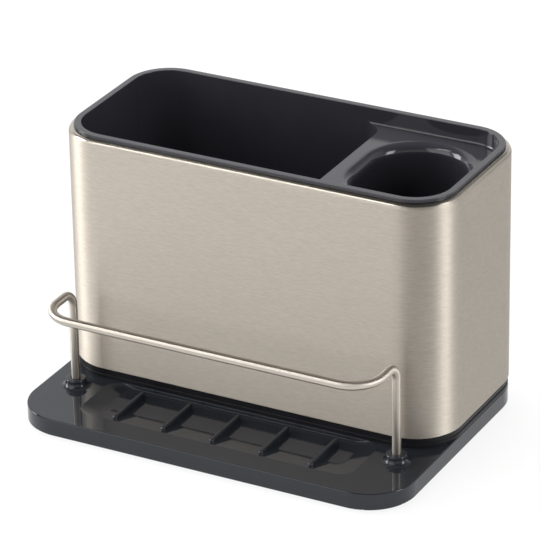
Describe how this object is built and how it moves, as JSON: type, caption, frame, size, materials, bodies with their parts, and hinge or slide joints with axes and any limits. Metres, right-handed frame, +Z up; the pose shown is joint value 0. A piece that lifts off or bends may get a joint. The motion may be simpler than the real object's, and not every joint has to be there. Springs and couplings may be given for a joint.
{
  "type": "kitchen sink caddy",
  "caption": "Kitchen sink caddy: rounded brushed steel sleeve with a dark lift-out liner and cup, on a ribbed drip tray with a wire cloth rail along its front.",
  "frame": {"origin": "centre of the caddy's outline, on the plane of the feet's undersides", "axes": "+X along the width towards the cup, -Y towards the ribbed deck and the rail, +Z up"},
  "size_m": [0.24, 0.169, 0.1592],
  "materials": {
    "charcoal_plastic": "semi-gloss moulded plastic, charcoal grey",
    "black_plastic": "satin moulded plastic, near black",
    "brushed_steel": "fine horizontal brushing",
    "liner_plastic": "satin moulded plastic, dark grey",
    "rail_steel": "satin drawn wire",
    "foot_rubber": "matt moulded rubber"
  },
  "bodies": {
    "base": {"drip_tray": "charcoal_plastic", "foot_front_left": "foot_rubber", "foot_front_right": "foot_rubber", "foot_rear_left": "foot_rubber", "foot_rear_right": "foot_rubber"},
    "sleeve": {"steel_sleeve": "brushed_steel", "base_collar": "black_plastic"},
    "liner": {"inner_liner": "liner_plastic"},
    "rail": {"cloth_rail": "rail_steel"}
  },
  "joints": [
    {"name": "sleeve_lift", "type": "slide", "parent": "base", "child": "sleeve", "axis": [0, 0, 1], "range_m": [0, 0.06]},
    {"name": "liner_lift", "type": "slide", "parent": "sleeve", "child": "liner", "axis": [0, 0, 1], "range_m": [0, 0.15]},
    {"name": "rail_lift", "type": "slide", "parent": "base", "child": "rail", "axis": [0, 0, 1], "range_m": [0, 0.04]}
  ]
}
